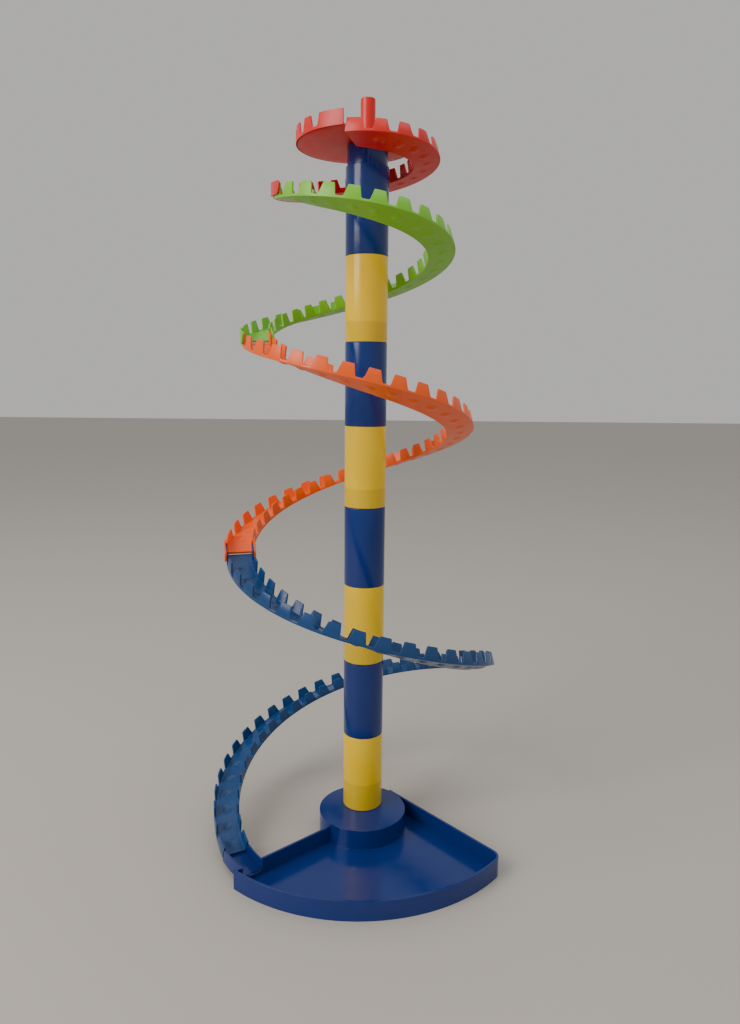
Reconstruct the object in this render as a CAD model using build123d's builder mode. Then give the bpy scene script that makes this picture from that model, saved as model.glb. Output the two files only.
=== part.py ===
# Spiral marble run on a push-fit column: build123d source, millimetres, +Z up.
# The origin is on the column's axis in the plane of the tray's underside, and -Y is the front.
# Angles around the run are counted in turns from the front, anticlockwise seen from above.
import os
from math import asin, ceil, cos, floor, pi, radians, sin

from build123d import *

# Push fits
fit_gap = 0.05  # radial clearance between a spigot and the bore it fills
seat_gap = 0.3  # free gap between pieces that seat on each other

# Column tubes
tube_count = 8
tube_d = 40.0
tube_wall = 1.3
tube_length = 78.1
spigot_length = 19.0
spigot_wall = 1.4
shoulder_thickness = 2.0

# Tray
floor_thickness = 2.5
tray_wall = 2.2
tray_height = 18.5
tray_corner_r = 12.0
boss_r = 44.0
boss_height = 22.0
boss_forward = 12.0  # the boss reaches further forward than the column
boss_skin = 2.5
boss_rib = 2.5  # two crossed ribs under the boss
base_spigot_length = 28.0
front_arc_r = 169.5
front_arc_center = (-4.0, 14.0)
left_wall_angle = 49.0  # degrees left of the front
right_wall_angle = 41.0  # degrees right of the front
right_wall_offset = 50.0  # from the boss's centre
right_wall_back = 12.0  # how far it runs on behind the boss's centre

# Spiral: the top edge of the outer wall
rim_start_r = 60.0
rim_growth = 22.0  # radius gained per turn
flare_start = 3.0  # from this turn on the coil opens out faster
rim_flare = 14.0  # extra radius one turn after that, growing with the square
rim_start_height = 676.0
rim_fall = 32.0  # drop per turn at the start
rim_fall_growth = 36.0  # extra drop over the first turn, growing with the square
rim_height_column = 668.5  # underside of the start disc that these heights belong to
coil_drift = (-13.0, -30.0)  # how far the middle coils hang off the column's axis
coil_tilt = 6.0  # the middle coils stand this much higher where the bank is steepest
bank_mean = 5.0
bank_swing = 14.0
bank_phase = 40 / 360

# Track section and its merlons
track_width = 25.0
track_height = 12.4
track_wall = 1.6
track_floor = 1.8
merlon_pitch = 21.0
gap_bottom = 6.6
gap_top = 11.6
gap_depth = 10.2
gap_corner_r = 2.0
dimple_r = 9.0
dimple_depth = 0.8
station_angle = 30.0  # degrees between two lofted sections

# Track joints
seam_turn = -20 / 360
joint_turns = (seam_turn, 292 / 360, 643 / 360, 1000 / 360, 1383 / 360)
joint_step = 2.2  # drop of the marble's path at every joint
plain_end = 14.0  # length of wall without gaps at each end of a track
tongue_length = 12.0  # floor that reaches back under the piece above
disc_seam_gap = 2.0  # gap along the path between the start disc and the first track
ear_length = 18.0
ear_grip = 8.0
ear_gap = 0.2
ear_inset = 0.5  # the ears stand this far inside the wall's top and bottom edges
tongue_inset = 0.3  # the tongue is this much thinner than the floor on both faces

# Start disc
disc_radius_per_sixth = (33.0, 35.0, 47.0, 60.0, 67.0, 63.0)
disc_seam_r = 60.0
disc_thickness = 2.2
disc_rim_height = 11.0
disc_rim_turns = (0.2, 1 + seam_turn)
disc_wide_merlon = 23.0
pin_r = 6.8
pin_height = 37.6
pin_round = 1.5
plug_length = 16.0

# Derived sizes
tube_bore_r = tube_d / 2 - tube_wall
spigot_r = tube_bore_r - fit_gap
spigot_bore_r = spigot_r - spigot_wall
tube_pitch = tube_length + seat_gap
column_top = boss_height + tube_count * tube_pitch
disc_underside = column_top + spigot_length + seat_gap


def station_value(values, place):
    # Value at a place between evenly spaced stations, on a Catmull-Rom curve
    padded = [2 * values[0] - values[1], *values, 2 * values[-1] - values[-2]]
    index = min(max(floor(place), 0), len(values) - 2)
    s = place - index
    a, b, c, d = padded[index : index + 4]
    linear = 2 * b + (c - a) * s
    curved = (2 * a - 5 * b + 4 * c - d) * s**2 + (3 * b - 3 * c + d - a) * s**3
    return 0.5 * (linear + curved)


def direction(turn):
    # Level unit vector from the axis towards an angle
    return Vector(sin(2 * pi * turn), -cos(2 * pi * turn), 0)


def rim_radius(turn):
    # Even growth, with a flare over the last stretch
    return rim_start_r + rim_growth * turn + rim_flare * max(0, turn - flare_start) ** 2


def rim_height(turn):
    # A fall that steepens evenly, plus the tilt of the middle coils, stretched with the column
    share = sin(pi * turn / joint_turns[-1])
    tilt = coil_tilt * share * cos(2 * pi * (turn - bank_phase))
    level = rim_start_height - rim_fall * turn - rim_fall_growth * turn**2
    return (level + tilt) * disc_underside / rim_height_column


def rim_point(turn):
    # Point on the top edge of the outer wall
    share = sin(pi * turn / joint_turns[-1])
    center = Vector(coil_drift[0] * share, coil_drift[1] * share, rim_height(turn))
    return center + direction(turn) * rim_radius(turn)


def turns_for(length, turn):
    # Share of a turn that a length of rim takes near an angle
    return length / (2 * pi * rim_radius(turn))


def section_plane(turn, drop=0.0):
    # Plane across the track: origin on the rim, x outwards with the bank in it, y up
    step = 0.5 / 360
    along = (rim_point(turn + step) - rim_point(turn - step)).normalized()
    level = (direction(turn) - along * direction(turn).dot(along)).normalized()
    bank = radians(bank_mean + bank_swing * cos(2 * pi * (turn - bank_phase)))
    outward = level * cos(bank) + level.cross(along) * sin(bank)
    return Plane(origin=rim_point(turn) - Vector(0, 0, drop), x_dir=outward, z_dir=along * -1)


def track_drop(track, turn):
    # A track starts one step under the rim line and has risen to it at its end
    start, end = joint_turns[track : track + 2]
    return joint_step * min(1, (end - turn) / (end - start))


def channel_outline():
    # The U section, from the outer rim
    floor_top = track_floor - track_height
    return [
        (0, 0),
        (0, -track_height),
        (-track_width, -track_height),
        (-track_width, 0),
        (track_wall - track_width, 0),
        (track_wall - track_width, floor_top),
        (-track_wall, floor_top),
        (-track_wall, 0),
    ]


def strip_outline(inner, outer, bottom, top):
    return [(outer, top), (outer, bottom), (inner, bottom), (inner, top)]


def tongue_outline():
    # Floor strip that reaches under the piece above
    bottom = tongue_inset - track_height
    return strip_outline(1 - track_width, -1, bottom, bottom + track_floor - 2 * tongue_inset)


def carry_outline(outline, planes):
    # Solid that carries one outline through a row of section planes
    with BuildPart() as carried:
        for plane in planes:
            with BuildSketch(plane):
                with BuildLine():
                    Polyline(*outline, close=True)
                make_face()
        loft()
    return carried.part


def track_planes(track, start, end):
    count = max(2, ceil((end - start) * 360 / station_angle))
    turns = [start + (end - start) * i / count for i in range(count + 1)]
    return [section_plane(turn, track_drop(track, turn)) for turn in turns]


def gap_turns(start, end):
    # Angles of the gaps, one merlon pitch of rim apart
    turn = start + turns_for(plain_end + gap_top / 2, start)
    last = end - turns_for(plain_end + gap_top / 2, end)
    turns = []
    while turn < last:
        turns.append(turn)
        turn += turns_for(merlon_pitch, turn)
    return turns


def gap_cutter(plane, scale=1.0):
    # Prism that opens one wall: x of the plane runs along the wall, its normal points outwards
    half_bottom = scale * gap_bottom / 2
    half_top = scale * gap_top / 2
    rise = gap_top - gap_bottom
    with BuildPart() as cutter:
        with BuildSketch(plane) as gap:
            with BuildLine():
                Polyline(
                    (-half_bottom, -gap_depth),
                    (half_bottom, -gap_depth),
                    (half_top, 0),
                    (half_top, rise),
                    (-half_top, rise),
                    (-half_top, 0),
                    close=True,
                )
            make_face()
            fillet(gap.vertices().group_by(Axis.Y)[0], scale * gap_corner_r)
        extrude(amount=-track_wall - 2)
    return cutter.part


def track_gap_cutters(track, turns):
    # One cutter for each wall; the inner one narrows with the radius
    cutters = []
    for turn in turns:
        section = section_plane(turn, track_drop(track, turn))
        inner_scale = (rim_radius(turn) - track_width) / rim_radius(turn)
        for edge, scale in ((0, 1), (track_wall - track_width, inner_scale)):
            place = section.origin + section.x_dir * (edge + 1)
            plane = Plane(origin=place, x_dir=section.z_dir * -1, z_dir=section.x_dir)
            cutters.append(gap_cutter(plane, scale))
    return cutters


def dimple_places(track, turns):
    # Centres of the balls that press a dimple into the floor beside every merlon pair
    places = []
    for turn in turns:
        middle = turn + turns_for(merlon_pitch / 2, turn)
        section = section_plane(middle, track_drop(track, middle))
        floor_top = track_floor - track_height
        height = floor_top + dimple_r - dimple_depth
        places.append(section.origin - section.x_dir * track_width / 2 + section.y_dir * height)
    return places


def build_ears(track):
    # Two plain plates that grip the end of a track and reach past the start of the next
    end = joint_turns[track + 1]
    grip = end - turns_for(ear_grip, end)
    reach = end + turns_for(ear_length, end)
    outer_face = ear_gap + track_wall
    far_side = -track_width - outer_face
    sides = (
        ((-track_wall / 2, outer_face), (ear_gap, outer_face)),
        ((far_side, track_wall / 2 - track_width), (far_side, -track_width - ear_gap)),
    )
    ears = []
    for gripping, reaching in sides:
        root = strip_outline(*gripping, ear_inset - track_height, -ear_inset)
        plate = strip_outline(*reaching, ear_inset - track_height, -ear_inset)
        ears.append(carry_outline(root, track_planes(track, grip, end)))
        ears.append(carry_outline(plate, ear_planes(end, reach)))
    return ears


def ear_planes(start, end):
    return [section_plane(start + (end - start) * i / 3) for i in range(4)]


def build_track(track, first_gap=seat_gap, has_tongue=True, has_ears=True):
    # One castellated channel between two joints
    start, end = joint_turns[track : track + 2]
    first = start + turns_for(first_gap, start)
    tongue_start = start - turns_for(tongue_length, start)
    tongue_end = start + turns_for(tongue_length, start)
    turns = gap_turns(start, end)
    channel = carry_outline(channel_outline(), track_planes(track, first, end))
    tongue = []
    if has_tongue:
        tongue.append(carry_outline(tongue_outline(), track_planes(track, tongue_start, tongue_end)))
    cutters = track_gap_cutters(track, turns)
    ears = build_ears(track) if has_ears else []
    with BuildPart() as piece:
        add(channel)
        add(tongue)
        add(cutters, mode=Mode.SUBTRACT)
        with Locations(*dimple_places(track, turns)):
            Sphere(dimple_r, mode=Mode.SUBTRACT)
        add(ears)
    return piece.part


def build_tube(number):
    # Tube with a wide bore below and a spigot above
    bottom = boss_height + seat_gap + number * tube_pitch
    with BuildPart() as tube:
        with BuildSketch(Plane.XY.offset(bottom)):
            Circle(tube_d / 2)
        extrude(amount=tube_length)
        with BuildSketch(Plane.XY.offset(bottom + tube_length)):
            Circle(spigot_r)
        extrude(amount=spigot_length)
        with BuildSketch(Plane.XY.offset(bottom)):
            Circle(tube_bore_r)
        extrude(amount=tube_length - shoulder_thickness, mode=Mode.SUBTRACT)
        with BuildSketch(Plane.XY.offset(bottom + tube_length - shoulder_thickness)):
            Circle(spigot_bore_r)
        extrude(amount=spigot_length + shoulder_thickness, mode=Mode.SUBTRACT)
        chamfer(tube.edges().filter_by(GeomType.CIRCLE).sort_by(Axis.Z)[-1], 0.4)
    return tube.part


def disc_radius(turn):
    # Edge of the start disc; the seam at the front left steps from its end back to its start
    values = (*disc_radius_per_sixth, disc_seam_r)
    return station_value(values, 6 * turn)


def disc_edge(start, end, inset=0.0):
    count = ceil(24 * (end - start))
    turns = [start + (end - start) * i / count for i in range(count + 1)]
    return [tuple(direction(turn) * (disc_radius(turn) - inset))[:2] for turn in turns]


def disc_gap_cutters():
    # Gaps of the disc's rim, ahead of the wide merlon at the seam
    start, end = disc_rim_turns
    rim_top = disc_underside + disc_thickness + disc_rim_height
    turn = end - (disc_wide_merlon + gap_top / 2) / (2 * pi * disc_seam_r)
    cutters = []
    while turn > start + 0.05:
        place = direction(turn) * (disc_radius(turn) + 2) + Vector(0, 0, rim_top)
        cutters.append(gap_cutter(Plane(origin=place, x_dir=direction(turn + 0.25), z_dir=direction(turn))))
        turn -= merlon_pitch / (2 * pi * disc_radius(turn))
    return cutters


def build_start_disc():
    # Snail-shaped plate with a castellated rim, a pin above and a plug below
    gaps = disc_gap_cutters()
    plate_edge = disc_edge(seam_turn, 1 + seam_turn, inset=track_wall / 2)
    rim_outer = disc_edge(*disc_rim_turns)
    rim_inner = disc_edge(*disc_rim_turns, inset=track_wall)[::-1]
    with BuildPart() as disc:
        with BuildSketch(Plane.XY.offset(disc_underside)):
            with BuildLine():
                Spline(*plate_edge)
                Line(plate_edge[-1], plate_edge[0])
            make_face()
        extrude(amount=disc_thickness)
        with BuildSketch(Plane.XY.offset(disc_underside)):
            with BuildLine():
                Spline(*rim_outer)
                Line(rim_outer[-1], rim_inner[0])
                Spline(*rim_inner)
                Line(rim_inner[-1], rim_outer[0])
            make_face()
        extrude(amount=disc_thickness + disc_rim_height)
        add(gaps, mode=Mode.SUBTRACT)
        with BuildSketch(Plane.XY.offset(disc_underside)):
            Circle(pin_r)
        extrude(amount=disc_thickness + pin_height)
        fillet(disc.edges().filter_by(GeomType.CIRCLE).sort_by(Axis.Z)[-1], pin_round)
        with BuildSketch(Plane.XY.offset(disc_underside)):
            Circle(spigot_bore_r - fit_gap)
        extrude(amount=-plug_length)
    return disc.part


def wall_vector(angle):
    return Vector(sin(radians(angle)), -cos(radians(angle)))


def arc_crossing(start, heading):
    # Where a line from a point meets the front arc
    offset = start - Vector(*front_arc_center)
    half = offset.dot(heading)
    reach = -half + (half**2 - offset.dot(offset) + front_arc_r**2) ** 0.5
    return start + heading * reach


def chute_turn_at_wall():
    # Angle at which the middle of the channel meets the left wall's outer face
    middle_r = rim_radius(joint_turns[-1]) - track_width / 2
    lean = asin(boss_forward * sin(radians(left_wall_angle)) / middle_r)
    return ceil(joint_turns[-1]) - radians(left_wall_angle) / (2 * pi) + lean / (2 * pi)


def chute_planes(start, end):
    # Sections of the inlet chute: its rim levels off to the tray's rim
    start_height = rim_point(start).Z - joint_step
    planes = []
    for i in range(5):
        turn = start + (end - start) * i / 4
        height = start_height + (tray_height - start_height) * i / 4
        planes.append(section_plane(turn, rim_point(turn).Z - height))
    return planes


def build_tray():
    # Quarter tray with the boss at its back, the lowest spigot and the inlet chute
    boss_center = Vector(0, -boss_forward)
    left = wall_vector(-left_wall_angle)
    right = wall_vector(right_wall_angle)
    right_start = boss_center + Vector(-right.Y, right.X) * right_wall_offset
    right_back = right_start - right * right_wall_back
    left_corner = arc_crossing(boss_center, left)
    right_corner = arc_crossing(right_start, right)
    front = Vector(front_arc_center[0], front_arc_center[1] - front_arc_r)
    joint = joint_turns[-1]
    chute_start = joint + turns_for(seat_gap, joint)
    chute_end = chute_turn_at_wall() + turns_for(tray_wall + 1, joint)
    inside = strip_outline(track_wall - track_width, -track_wall, track_floor - track_height, track_height)
    chute = carry_outline(channel_outline(), chute_planes(chute_start, chute_end))
    chute_hollow = carry_outline(inside, chute_planes(chute_start, chute_end + turns_for(4, joint)))
    lip = [section_plane(joint + turns_for(x, joint), joint_step) for x in (-tongue_length, 0, 2)]
    with BuildPart() as tray:
        with BuildSketch() as outline:
            with BuildLine():
                Line(boss_center, left_corner)
                ThreePointArc(left_corner, front, right_corner)
                Line(right_corner, right_back)
                Line(right_back, boss_center)
            make_face()
            fillet(outline.vertices().sort_by(Axis.X)[-1], tray_corner_r)
            with Locations(boss_center):
                Circle(boss_r)
        extrude(amount=tray_height)
        with BuildSketch(Plane.XY.offset(floor_thickness)):
            offset(outline.sketch, amount=-tray_wall)
        extrude(amount=tray_height, mode=Mode.SUBTRACT)
        with BuildSketch():
            with Locations(boss_center):
                Circle(boss_r)
        extrude(amount=boss_height)
        with BuildSketch(Plane.XY.offset(boss_height)):
            Circle(spigot_r)
        extrude(amount=base_spigot_length)
        with BuildSketch():
            with Locations(boss_center):
                Circle(boss_r - boss_skin)
        extrude(amount=boss_height - boss_skin, mode=Mode.SUBTRACT)
        with BuildSketch():
            Rectangle(boss_rib, 4 * boss_r)
            Rectangle(4 * boss_r, boss_rib)
            with Locations(boss_center):
                Circle(boss_r - boss_skin / 2, mode=Mode.INTERSECT)
        extrude(amount=boss_height - boss_skin)
        with BuildSketch(Plane.XY.offset(boss_height - boss_skin)):
            Circle(spigot_bore_r)
        extrude(amount=base_spigot_length + boss_skin, mode=Mode.SUBTRACT)
        add(chute)
        add(chute_hollow, mode=Mode.SUBTRACT)
        add(carry_outline(tongue_outline(), lip))
    return tray.part


pieces = {
    "base_tray": build_tray(),
    "start_disc": build_start_disc(),
    "red_track": build_track(0, first_gap=disc_seam_gap, has_tongue=False),
    "green_track": build_track(1),
    "orange_track": build_track(2),
    "blue_track": build_track(3, has_ears=False),
}
for number in range(tube_count):
    pieces[f"tube_{number + 1}"] = build_tube(number)

os.makedirs("parts", exist_ok=True)
for name, piece in pieces.items():
    piece.label = name
    export_step(piece, f"parts/{name}.step")
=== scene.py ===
# Marble run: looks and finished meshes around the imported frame
import bpy
import numpy as np
from mathutils import Matrix, Vector


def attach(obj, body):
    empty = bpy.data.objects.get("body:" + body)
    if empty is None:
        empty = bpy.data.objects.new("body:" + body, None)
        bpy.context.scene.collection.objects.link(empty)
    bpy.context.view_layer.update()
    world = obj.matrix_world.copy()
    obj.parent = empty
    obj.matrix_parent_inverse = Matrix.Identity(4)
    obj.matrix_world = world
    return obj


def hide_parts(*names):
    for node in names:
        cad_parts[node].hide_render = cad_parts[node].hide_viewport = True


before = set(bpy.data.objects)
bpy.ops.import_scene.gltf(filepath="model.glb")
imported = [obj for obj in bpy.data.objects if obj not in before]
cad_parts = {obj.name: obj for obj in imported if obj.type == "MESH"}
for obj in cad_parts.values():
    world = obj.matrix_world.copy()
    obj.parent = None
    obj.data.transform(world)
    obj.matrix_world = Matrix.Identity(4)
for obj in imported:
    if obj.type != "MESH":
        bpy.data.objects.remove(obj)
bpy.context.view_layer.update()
mm = 0.001

# The spiral that every channel follows
spiral = {
    "startRadius": 60.0,
    "growth": 22.0,  # radius gained per turn
    "flareStart": 3.0,
    "flare": 14.0,
    "startHeight": 676.0,
    "fall": 32.0,  # drop per turn at the start
    "fallGrowth": 36.0,
    "drift": (-13.0, -30.0),  # how far the middle coils hang off the column
    "tilt": 6.0,
    "bankMean": 5.0,
    "bankSwing": 14.0,
    "bankPhase": 40 / 360,
    "joints": (-20 / 360, 292 / 360, 643 / 360, 1000 / 360, 1383 / 360),
    "jointStep": 2.2,
}


def stationValue(values, place):
    # Catmull-Rom curve through evenly spaced stations: a cubic whose slope at each
    # station is half the difference of its two neighbours
    v = np.asarray(values, float)
    padded = np.concatenate([[2 * v[0] - v[1]], v, [2 * v[-1] - v[-2]]])
    index = np.clip(np.floor(place).astype(int), 0, len(v) - 2)
    s = place - index
    a, b, c, d = (padded[index + k] for k in range(4))
    curved = (2 * a - 5 * b + 4 * c - d) * s**2 + (3 * b - 3 * c + d - a) * s**3
    return 0.5 * (2 * b + (c - a) * s + curved)


def rimRadius(turn):
    # Radius = start + growth * turn + flare * (turns past the flare's start)^2
    turn = np.asarray(turn, float)
    return spiral["startRadius"] + spiral["growth"] * turn + spiral["flare"] * np.maximum(0, turn - spiral["flareStart"]) ** 2


def rimHeight(turn):
    # Height = start - fall * turn - fallGrowth * turn^2 + tilt * sin(share) * cos(turn - bank phase)
    share = np.sin(np.pi * turn / spiral["joints"][-1])
    tilt = spiral["tilt"] * share * np.cos(2 * np.pi * (turn - spiral["bankPhase"]))
    return spiral["startHeight"] - spiral["fall"] * turn - spiral["fallGrowth"] * turn**2 + tilt


def rimPoint(turn):
    # Rim = drifting centre + radius towards the angle, at the height of that angle
    share = np.sin(np.pi * turn / spiral["joints"][-1])
    angle = 2 * np.pi * turn
    x = spiral["drift"][0] * share + rimRadius(turn) * np.sin(angle)
    y = spiral["drift"][1] * share - rimRadius(turn) * np.cos(angle)
    return np.stack([x, y, rimHeight(turn)], axis=-1)


def unit(v):
    return v / np.linalg.norm(v, axis=-1, keepdims=True)


def sectionFrames(turn, drop):
    # Origin on the rim, outward and upright directions across the path, turned by the bank
    step = 0.5 / 360
    along = unit(rimPoint(turn + step) - rimPoint(turn - step))
    radial = np.stack([np.sin(2 * np.pi * turn), -np.cos(2 * np.pi * turn), 0 * turn], axis=-1)
    level = unit(radial - along * np.sum(radial * along, axis=-1, keepdims=True))
    bank = spiral["bankMean"] + spiral["bankSwing"] * np.cos(2 * np.pi * (turn - spiral["bankPhase"]))
    bank = np.radians(bank)[:, None]
    outward = level * np.cos(bank) + np.cross(level, along) * np.sin(bank)
    origin = rimPoint(turn) - np.stack([0 * turn, 0 * turn, drop], axis=-1)
    return origin, outward, np.cross(outward, along)


def trackDrop(track, turn):
    # One step below the rim line at the start, on it at the end
    start, end = spiral["joints"][track : track + 2]
    return spiral["jointStep"] * np.minimum(1, (end - turn) / (end - start))


def carried(turn, drop, across, up):
    # Point = origin + outward * across + upright * up, for a whole grid (stations, profile)
    origin, outward, upright = sectionFrames(turn, drop)
    return origin[:, None] + outward[:, None] * across[..., None] + upright[:, None] * up[..., None]


def meshFromGrids(name, grids, ring=False, sharpAngle=35):
    # Each grid is (rows, columns) of points, closed across its columns; its rows either
    # close into a ring or end in a face
    verts = []
    faces = []
    base = 0
    for points in grids:
        rows, cols = points.shape[:2]
        ids = base + np.arange(rows * cols).reshape(rows, cols)
        if ring:
            ids = np.concatenate([ids, ids[:1]])
        nextCol = np.roll(ids, -1, axis=1)
        quads = np.stack([ids[:-1], nextCol[:-1], nextCol[1:], ids[1:]], axis=-1).reshape(-1, 4)
        faces += quads.tolist()
        if not ring:
            faces += [ids[0][::-1].tolist(), ids[-1].tolist()]
        verts.append(points.reshape(-1, 3))
        base += rows * cols
    mesh = bpy.data.meshes.new(name)
    mesh.from_pydata((np.concatenate(verts) * mm).tolist(), [], faces)
    mesh.update()
    mesh.polygons.foreach_set("use_smooth", np.ones(len(mesh.polygons), bool))
    mesh.set_sharp_from_angle(angle=np.radians(sharpAngle))
    piece = bpy.data.objects.new(name, mesh)
    bpy.context.collection.objects.link(piece)
    return piece


# Channels
channel = {
    "width": 25.0,
    "height": 12.4,
    "wall": 1.6,
    "floor": 1.8,
    "edge": 0.35,  # rounding of the moulded edges
    "pitch": 21.0,  # from merlon to merlon along the outer rim
    "gapBottom": 6.6,
    "gapTop": 11.6,
    "gapDepth": 10.2,
    "gapRound": 2.0,
    "merlonRound": 0.9,
    "plainEnd": 14.0,
    "dimpleRadius": 4.6,
    "dimpleDepth": 1.1,
    "earLength": 18.0,
    "earGrip": 8.0,
    "earRound": 4.0,
}


def turnsFor(length, turn):
    return length / (2 * np.pi * rimRadius(turn))


def roundedLine(corners, radii, steps=5):
    # Polyline with an arc at each corner: quadratic blend between the two tangent points
    out = [corners[0]]
    for before, corner, after, r in zip(corners, corners[1:], corners[2:], radii):
        a = unit(np.subtract(before, corner))
        b = unit(np.subtract(after, corner))
        half = np.arccos(np.clip(np.dot(a, b), -1, 1)) / 2
        reach = r / np.tan(half)
        t = np.linspace(0, 1, steps + 1)[:, None]
        p, q = corner + a * reach, corner + b * reach
        out += list((1 - t) ** 2 * p + 2 * t * (1 - t) * np.asarray(corner, float) + t**2 * q)
    return np.array(out + [corners[-1]])


def gapOutline():
    # Half of a gap seen from the side: distance from its middle, and depth below the rim
    c = channel
    corners = [(0, -c["gapDepth"]), (c["gapBottom"] / 2, -c["gapDepth"]), (c["gapTop"] / 2, 0), (c["gapTop"] / 2 + 2, 0)]
    half = roundedLine([np.array(p, float) for p in corners], (c["gapRound"], c["merlonRound"]), 6)
    return np.concatenate([half[:0:-1] * (-1, 1), half])


def gapTurns(start, end):
    c = channel
    turn = start + turnsFor(c["plainEnd"] + c["gapTop"] / 2, start)
    last = end - turnsFor(c["plainEnd"] + c["gapTop"] / 2, end)
    turns = []
    while turn < last:
        turns.append(float(turn))
        turn = turn + turnsFor(c["pitch"], turn)
    return np.array(turns)


def channelProfile():
    # The U section as a closed loop: across, up, and how much each point follows the wall's top
    c = channel
    w, h, t, f, e = c["width"], c["height"], c["wall"], c["floor"], c["edge"]
    crest = [(0, -e), (-0.3 * e, -0.3 * e), (-e, 0), (e - t, 0), (0.3 * e - t, -0.3 * e), (-t, -e)]
    under = np.linspace(-1.2, 1.2 - w, 19)
    floorLine = np.linspace(t + 1.2 - w, -t - 1.2, 19)
    loop = [(x, y, 1, 0) for x, y in crest[::-1]][:0]
    loop += [(x, y, 1, 0) for x, y in crest][2::-1]
    loop += [(0, e - h, 0, 0), (-0.3 * e, 0.3 * e - h, 0, 0), (-e, -h, 0, 0)]
    loop += [(x, -h, 0, 1) for x in under]
    loop += [(e - w, -h, 0, 0), (0.3 * e - w, 0.3 * e - h, 0, 0), (-w, e - h, 0, 0)]
    loop += [(-w - x, y, 1, 0) for x, y in crest]
    loop += [(t - w, f - h + 0.8, 0, 0), (t - w + 0.25, f - h + 0.25, 0, 0)]
    loop += [(x, f - h, 0, 1) for x in floorLine]
    loop += [(-t - 0.25, f - h + 0.25, 0, 0), (-t, f - h + 0.8, 0, 0)]
    loop += [(x, y, 1, 0) for x, y in crest][:2:-1]
    return np.array(loop)


def channelStations(track):
    # Angles of the grid rows and the depth of the wall's top at each
    start, end = spiral["joints"][track : track + 2]
    start = start + turnsFor(2.0 if track == 0 else 0.3, start)
    gaps = gapTurns(start, end)
    outline = gapOutline()
    local = gaps[:, None] + outline[:, 0] / (2 * np.pi * rimRadius(gaps))[:, None]
    turn = local.ravel()
    depth = np.tile(outline[:, 1], len(gaps))
    plain = np.concatenate([np.linspace(start, turn[0], 12)[:-1], np.linspace(turn[-1], end, 12)[1:]])
    between = (local[:-1, -1, None] + (local[1:, 0] - local[:-1, -1])[:, None] * np.linspace(0, 1, 6)[1:-1]).ravel()
    turn = np.concatenate([turn, plain, between])
    depth = np.concatenate([depth, np.zeros(len(plain) + len(between))])
    order = np.argsort(turn)
    return turn[order], depth[order], gaps


def channelGrid(track):
    # up = profile height + crest depth where the loop is on a wall's top,
    # minus a shallow cap (depth * (1 - (distance / radius)^2)) over both floor faces
    c = channel
    turn, depth, gaps = channelStations(track)
    loop = channelProfile()
    across = np.repeat(loop[None, :, 0], len(turn), axis=0)
    up = loop[None, :, 1] + depth[:, None] * loop[None, :, 2]
    centers = gaps + turnsFor(c["pitch"] / 2, gaps)
    nearest = centers[np.argmin(abs(turn[:, None] - centers), axis=1)]
    travel = (turn - nearest) * 2 * np.pi * (rimRadius(turn) - c["width"] / 2)
    distance = np.hypot(travel[:, None], across + c["width"] / 2)
    cap = c["dimpleDepth"] * np.clip(1 - (distance / c["dimpleRadius"]) ** 2, 0, 1)
    up = up - cap * loop[None, :, 3]
    return carried(turn, trackDrop(track, turn), across, up)


def plateGrid(turn, drop, inner, outer, bottom, top):
    # Upright plate: a rounded rectangle between inner and outer, bottom and top given per station
    e = 0.35
    corners = [(1, 1, -e, 0), (1, 1, 0, -e), (1, 0, 0, e), (1, 0, -e, 0), (0, 0, e, 0), (0, 0, 0, e), (0, 1, 0, -e), (0, 1, e, 0)]
    isOuter, isTop, du, dv = np.array(corners).T
    across = np.repeat((inner + (outer - inner) * isOuter + du)[None], len(turn), axis=0)
    up = bottom[:, None] + (top - bottom)[:, None] * isTop + dv
    return carried(turn, drop, across, up)


def earGrids(track):
    # The two ears at a track's end: height shrinks as a quarter circle at the free end
    c = channel
    end = spiral["joints"][track + 1]
    s = np.concatenate([np.linspace(-c["earGrip"], c["earLength"] - c["earRound"], 24), c["earLength"] - c["earRound"] + c["earRound"] * np.sin(np.linspace(0.12, 1, 9) * np.pi / 2)])
    turn = end + s / (2 * np.pi * rimRadius(end))
    over = np.clip((s - c["earLength"] + c["earRound"]) / c["earRound"], 0, 1)
    shrink = c["earRound"] * (1 - np.sqrt(1 - over**2)) * 0.97
    drop = np.maximum(trackDrop(track, turn), 0)
    bottom = 0.5 - c["height"] + shrink
    top = -0.5 - shrink
    w, t = c["width"], c["wall"]
    outer = plateGrid(turn, drop, 0.15, 0.2 + t, bottom, top)
    inner = plateGrid(turn, drop, -w - t - 0.2, -w - 0.15, bottom, top)
    return [outer, inner]


def buildTrack(track, name, node, material):
    grids = [channelGrid(track)]
    if track < 3:
        grids += earGrids(track)
    piece = meshFromGrids(name, grids)
    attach(piece, "stand")
    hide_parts(node)
    piece.data.materials.append(material)
    print("track", name, len(piece.data.polygons), "faces")
    return piece


# Column tubes
column = {
    "count": 8,
    "radius": 20.0,
    "bore": 18.7,
    "spigot": 18.65,
    "spigotBore": 17.25,
    "length": 78.1,
    "pitch": 78.4,
    "spigotLength": 19.0,
    "shoulder": 2.0,
    "bottom": 22.3,
    "edge": 0.5,
}


def closedLoop(corners, radii, steps=4):
    # Corner list with an arc of the given radius at every corner
    pts = [np.array(c, float) for c in corners]
    n = len(pts)
    arcs = [roundedLine([pts[i - 1], pts[i], pts[(i + 1) % n]], (radii[i],), steps)[1:-1] for i in range(n)]
    return np.concatenate(arcs)


def revolved(loop, sides=128):
    # Point = (r cos a, r sin a, z) for every angle a of the circle
    angle = -2 * np.pi * np.arange(sides)[:, None] / sides
    return np.stack([loop[:, 0] * np.cos(angle), loop[:, 0] * np.sin(angle), loop[:, 1] + 0 * angle], axis=-1)


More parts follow.
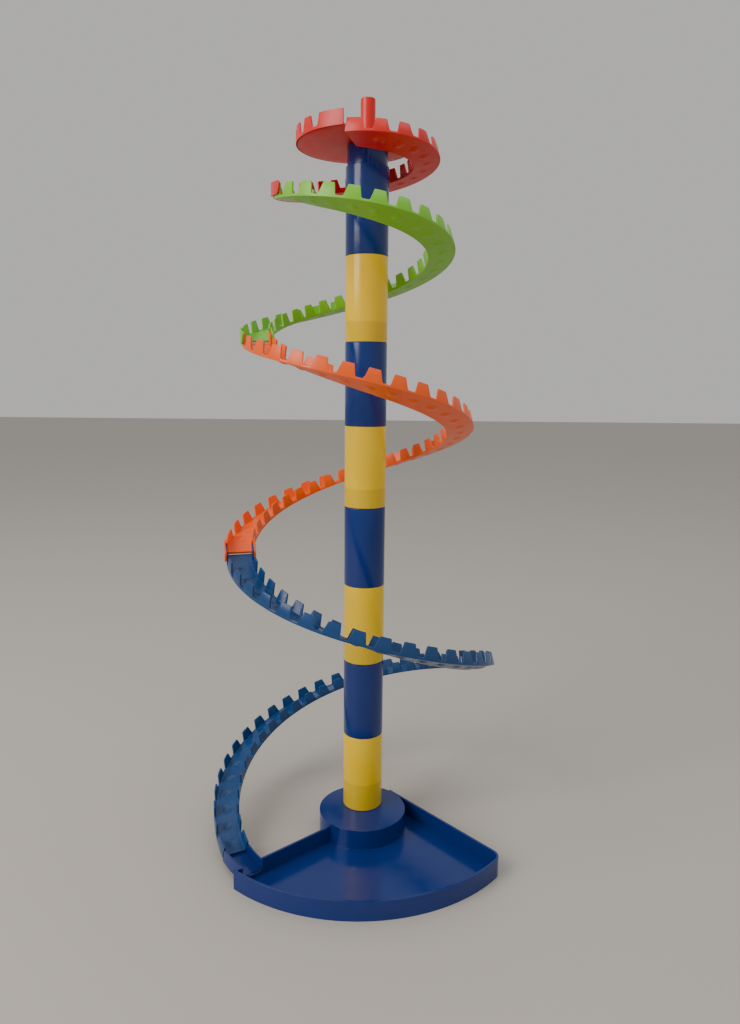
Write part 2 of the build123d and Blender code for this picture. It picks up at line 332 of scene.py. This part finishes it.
def buildTube(number):
    c = column
    z = c["bottom"] + number * c["pitch"]
    top = z + c["length"]
    tip = top + c["spigotLength"]
    corners = [(c["radius"], z), (c["radius"], top), (c["spigot"], top), (c["spigot"], tip), (c["spigotBore"], tip), (c["spigotBore"], top - c["shoulder"]), (c["bore"], top - c["shoulder"]), (c["bore"], z)]
    loop = closedLoop(corners, (c["edge"], c["edge"], 0.2, 0.5, 0.3, 0.3, 0.2, 0.2))
    piece = meshFromGrids(f"tubePart{number + 1}", [revolved(loop)], ring=True)
    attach(piece, f"tube_{number + 1}_body")
    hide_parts(f"tube_{number + 1}")
    return piece


# Start disc
disc = {
    "radius": (33, 35, 47, 60, 67, 63, 60),  # at every sixth of a turn, back to the seam
    "underside": 668.5,
    "thickness": 2.2,
    "rimHeight": 11.0,
    "rimStart": 0.2,
    "wideMerlon": 23.0,
    "pinRadius": 6.8,
    "pinHeight": 37.6,
    "pinRound": 1.5,
    "plug": 17.2,
    "plugLength": 16.0,
}


def discRadius(turn):
    return stationValue(disc["radius"], 6 * np.asarray(turn, float))


def discPoints(turn, across, up):
    # Snail edge: radius follows the angle, across is measured outwards from it
    angle = 2 * np.pi * turn[:, None]
    r = discRadius(turn)[:, None] + across
    return np.stack([r * np.sin(angle), -r * np.cos(angle), disc["underside"] + up], axis=-1)


def discPlate():
    # Thin plate from the pin to the edge; the section's inner end sits inside the pin
    d = disc
    turn = np.linspace(spiral["joints"][0], 1 + spiral["joints"][0], 181)
    r = discRadius(turn)[:, None]
    t = d["thickness"]
    e = 0.4
    share = np.linspace(0, 1, 9)[None]
    topAcross = 3 - r + (r - 3 - e) * share
    edge = np.array([(-0.3 * e, t - 0.3 * e), (0, t - e), (0, e), (-0.3 * e, 0.3 * e)])
    across = np.concatenate([topAcross, np.repeat(edge[None, :, 0], len(turn), 0), topAcross[:, ::-1]], axis=1)
    up = np.concatenate([np.full(9, t), edge[:, 1], np.zeros(9)])
    return discPoints(turn, across, np.repeat(up[None], len(turn), 0))


def discRim():
    # Castellated wall on the plate's edge, with one wide merlon before the seam
    d, c = disc, channel
    end = 1 + spiral["joints"][0]
    turn = end - (d["wideMerlon"] + c["gapTop"] / 2) / (2 * np.pi * 60)
    gaps = []
    while turn > d["rimStart"] + 0.05:
        gaps.append(float(turn))
        turn = turn - c["pitch"] / (2 * np.pi * float(discRadius(turn)))
    gaps = np.array(gaps[::-1])
    outline = gapOutline()
    local = (gaps[:, None] + outline[:, 0] / (2 * np.pi * discRadius(gaps))[:, None])
    between = (local[:-1, -1, None] + (local[1:, 0] - local[:-1, -1])[:, None] * np.linspace(0, 1, 6)[1:-1]).ravel()
    plain = np.concatenate([np.linspace(d["rimStart"], local[0, 0], 8)[:-1], np.linspace(local[-1, -1], end, 12)[1:]])
    turns = np.concatenate([local.ravel(), between, plain])
    depth = np.concatenate([np.tile(outline[:, 1], len(gaps)), np.zeros(len(between) + len(plain))])
    order = np.argsort(turns)
    turns, depth = turns[order], depth[order]
    e, t, h = 0.35, c["wall"], d["thickness"] + d["rimHeight"]
    section = np.array([(-e, h, 1), (-0.3 * e, h - 0.3 * e, 1), (0, h - e, 1), (0, e, 0), (-e, 0, 0), (e - t, 0, 0), (-t, e, 0), (-t, h - e, 1), (0.3 * e - t, h - 0.3 * e, 1), (e - t, h, 1)])
    across = np.repeat(section[None, :, 0], len(turns), 0)
    up = section[None, :, 1] + depth[:, None] * section[None, :, 2]
    return discPoints(turns, across, up)


def buildDisc(material):
    d = disc
    z = d["underside"]
    plate = meshFromGrids("startPlate", [discPlate(), discRim()])
    pinTop = z + d["thickness"] + d["pinHeight"]
    pin = closedLoop([(0.01, z + 0.5), (d["pinRadius"], z + 0.5), (d["pinRadius"], pinTop), (0.01, pinTop)], (0.005, 0.3, d["pinRound"], 0.005), 6)
    plug = closedLoop([(0.01, z - d["plugLength"]), (d["plug"], z - d["plugLength"]), (d["plug"], z + 0.4), (0.01, z + 0.4)], (0.005, 0.6, 0.2, 0.005), 4)
    stem = meshFromGrids("startPin", [revolved(pin), revolved(plug)], ring=True)
    for piece in (plate, stem):
        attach(piece, "stand")
        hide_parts("start_disc")
        piece.data.materials.append(material)
    print("start disc ready")


# Materials
def linear(hexColor):
    # sRGB to linear: value / 12.92 below 0.04045, else ((value + 0.055) / 1.055) ^ 2.4
    srgb = np.array([int(hexColor[i : i + 2], 16) for i in (1, 3, 5)]) / 255
    rgb = np.where(srgb < 0.04045, srgb / 12.92, ((srgb + 0.055) / 1.055) ** 2.4)
    return (*rgb.tolist(), 1)


def addNode(tree, kind, inputs=(), **settings):
    # One node with its settings; an input is a value or a socket to link from
    node = tree.nodes.new(kind)
    for key, value in settings.items():
        setattr(node, key, value)
    for key, value in dict(inputs).items():
        if isinstance(value, bpy.types.NodeSocket):
            tree.links.new(value, node.inputs[key])
        else:
            node.inputs[key].default_value = value
    return node


def mouldedPlastic(name, look):
    # Injection-moulded ABS or PP: even colour with faint flow clouds, a fine polish texture
    # and rubbed patches that are a little rougher
    material = bpy.data.materials.new(name)
    material.use_nodes = True
    tree = material.node_tree
    tree.nodes.clear()
    place = addNode(tree, "ShaderNodeTexCoord").outputs["Object"]
    flow = addNode(tree, "ShaderNodeTexNoise", {"Vector": place, "Scale": 28.0, "Detail": 3.0})
    tint = addNode(tree, "ShaderNodeMix", {"Factor": flow.outputs["Fac"], 6: linear(look["color"]), 7: linear(look["shade"])}, data_type="RGBA")
    rub = addNode(tree, "ShaderNodeTexNoise", {"Vector": place, "Scale": 90.0, "Detail": 6.0, "Roughness": 0.65})
    rough = addNode(tree, "ShaderNodeMapRange", {"Value": rub.outputs["Fac"], "From Min": 0.35, "From Max": 0.7, "To Min": look["rough"], "To Max": look["rough"] + look["wear"]})
    grain = addNode(tree, "ShaderNodeTexNoise", {"Vector": place, "Scale": look["grain"], "Detail": 2.0})
    edge = addNode(tree, "ShaderNodeBevel", {"Radius": look["bevel"]}, samples=4)
    bump = addNode(tree, "ShaderNodeBump", {"Height": grain.outputs["Fac"], "Strength": look["bump"], "Distance": 0.0002, "Normal": edge.outputs["Normal"]})
    shader = addNode(tree, "ShaderNodeBsdfPrincipled", {"Base Color": tint.outputs[2], "Roughness": rough.outputs["Result"], "Normal": bump.outputs["Normal"], "IOR": look["ior"]})
    shader.inputs["Subsurface Weight"].default_value = look["glow"]
    shader.inputs["Subsurface Radius"].default_value = look["glowColor"]
    shader.inputs["Subsurface Scale"].default_value = look["glowDepth"]
    addNode(tree, "ShaderNodeOutputMaterial", {"Surface": shader.outputs["BSDF"]})
    return material


def yellowTube(number):
    # Yellow polystyrene gets a duller olive band painted into its colour at its lower end, where the blue spigot sits
    # inside. The band is partly the blue spigot showing through and partly painted shade, because the spigot covers
    # the wall's inside from light:
    # colour = mix(clear yellow, olive band with painted shade, soft step of the height above the tube's bottom)
    look = {**plasticLook, "color": "#FFD400", "shade": "#FBCA00", "rough": 0.16, "glow": 0.25, "glowColor": (1.0, 0.6, 0.1), "glowDepth": 0.002}
    material = mouldedPlastic(f"yellowMouldedPS{number + 1}", look)
    tree = material.node_tree
    shader = [n for n in tree.nodes if n.type == "BSDF_PRINCIPLED"][0]
    tint = shader.inputs["Base Color"].links[0].from_socket
    band = 28.0 if number == 0 else 18.7
    place = addNode(tree, "ShaderNodeTexCoord").outputs["Object"]
    height = addNode(tree, "ShaderNodeSeparateXYZ", {"Vector": place}).outputs["Z"]
    top = (column["bottom"] + number * column["pitch"] + band) * mm
    # painted shade: the olive tint is strongest below the spigot's top and fades out just above it
    spigotShadeMask = addNode(tree, "ShaderNodeMapRange", {"Value": height, "From Min": top - 0.0012, "From Max": top + 0.0008, "To Min": 0.28, "To Max": 0.0})
    spigotShadedColor = addNode(tree, "ShaderNodeMix", {"Factor": spigotShadeMask.outputs["Result"], 6: tint, 7: linear("#8C8A28")}, data_type="RGBA")
    tree.links.new(spigotShadedColor.outputs[2], shader.inputs["Base Color"])
    return material


plasticLook = {"rough": 0.3, "wear": 0.1, "grain": 900.0, "bump": 0.15, "bevel": 0.0004, "ior": 1.5, "glow": 0.0, "glowColor": (1, 1, 1), "glowDepth": 0.001}
red = mouldedPlastic("redMouldedPP", {**plasticLook, "color": "#E41F14", "shade": "#D21810"})
green = mouldedPlastic("greenMouldedPP", {**plasticLook, "color": "#7FCB2C", "shade": "#72BE22"})
orange = mouldedPlastic("orangeMouldedPP", {**plasticLook, "color": "#FF6200", "shade": "#F45800"})
blueTrack = mouldedPlastic("blueMouldedPP", {**plasticLook, "color": "#07457E", "shade": "#053A6E", "rough": 0.24})
blueGloss = mouldedPlastic("blueMouldedABS", {**plasticLook, "color": "#052E7C", "shade": "#04276C", "rough": 0.14})
print("materials ready")

buildTrack(0, "redChannel", "red_track", red)
buildTrack(1, "greenChannel", "green_track", green)
buildTrack(2, "orangeChannel", "orange_track", orange)
buildTrack(3, "blueChannel", "blue_track", blueTrack)


def finishNode(node, material):
    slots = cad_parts[node].data.materials
    slots.clear()
    slots.append(material)


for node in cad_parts:
    finishNode(node, blueGloss)
buildDisc(red)
for number in range(column["count"]):
    piece = buildTube(number)
    isBlue = number % 2 == 1
    piece.data.materials.append(blueGloss if isBlue else yellowTube(number))
print("column ready")


# Camera, floor and light
view = {
    "place": (0.0, -0.7486, 0.4543),
    "pitch": 9.454,
    "yaw": -0.396,
    "roll": 0.542,
    "focalPixels": 770.9,
}


def addCamera():
    # The camera looks along +Y, pitched down, with a slight roll
    p, y, r = (np.radians(view[k]) for k in ("pitch", "yaw", "roll"))
    forward = Vector((-np.sin(y) * np.cos(p), np.cos(y) * np.cos(p), -np.sin(p)))
    right = Vector((np.cos(y), np.sin(y), 0))
    up = right.cross(forward)
    tiltedRight = right * np.cos(r) + up * np.sin(r)
    tiltedUp = up * np.cos(r) - right * np.sin(r)
    data = bpy.data.cameras.new("viewCamera")
    data.sensor_fit = "VERTICAL"
    data.sensor_height = 24.0
    data.lens = view["focalPixels"] * 24.0 / 1024
    data.clip_end = 20
    camera = bpy.data.objects.new("viewCamera", data)
    rotation = Matrix((tiltedRight, tiltedUp, -forward)).transposed()
    camera.matrix_world = Matrix.Translation(view["place"]) @ rotation.to_4x4()
    bpy.context.collection.objects.link(camera)
    bpy.context.scene.camera = camera


def addAreaLight(name, place, target, size, power, color):
    data = bpy.data.lights.new(name, "AREA")
    data.shape = "RECTANGLE"
    data.size, data.size_y = size
    data.energy = power
    data.color = linear(color)[:3]
    light = bpy.data.objects.new(name, data)
    light.location = place
    light.rotation_euler = (Vector(target) - Vector(place)).to_track_quat("-Z", "Y").to_euler()
    bpy.context.collection.objects.link(light)


def addStage():
    # A wide pale floor; the world behind it is one pale grey
    mesh = bpy.data.meshes.new("floor")
    mesh.from_pydata([(-6, -3, 0), (6, -3, 0), (6, 9, 0), (-6, 9, 0)], [], [(0, 1, 2, 3)])
    floor = bpy.data.objects.new("floor", mesh)
    bpy.context.collection.objects.link(floor)
    material = bpy.data.materials.new("paleFloor")
    material.use_nodes = True
    shader = material.node_tree.nodes["Principled BSDF"]
    shader.inputs["Base Color"].default_value = linear("#B9B4AC")
    shader.inputs["Roughness"].default_value = 0.6
    mesh.materials.append(material)
    world = bpy.data.worlds.new("paleStudio")
    world.use_nodes = True
    world.node_tree.nodes["Background"].inputs["Color"].default_value = linear("#C4C3C1")
    world.node_tree.nodes["Background"].inputs["Strength"].default_value = 0.95
    bpy.context.scene.world = world


addCamera()
addStage()
addAreaLight("windowLeft", (-1.6, -1.1, 1.5), (0, 0, 0.35), (1.2, 1.6), 36, "#FFF8F0")
addAreaLight("ceilingSoft", (0.3, -0.2, 2.6), (0, 0, 0.3), (2.2, 2.2), 18, "#FFFFFF")
print("camera, floor and lights ready")
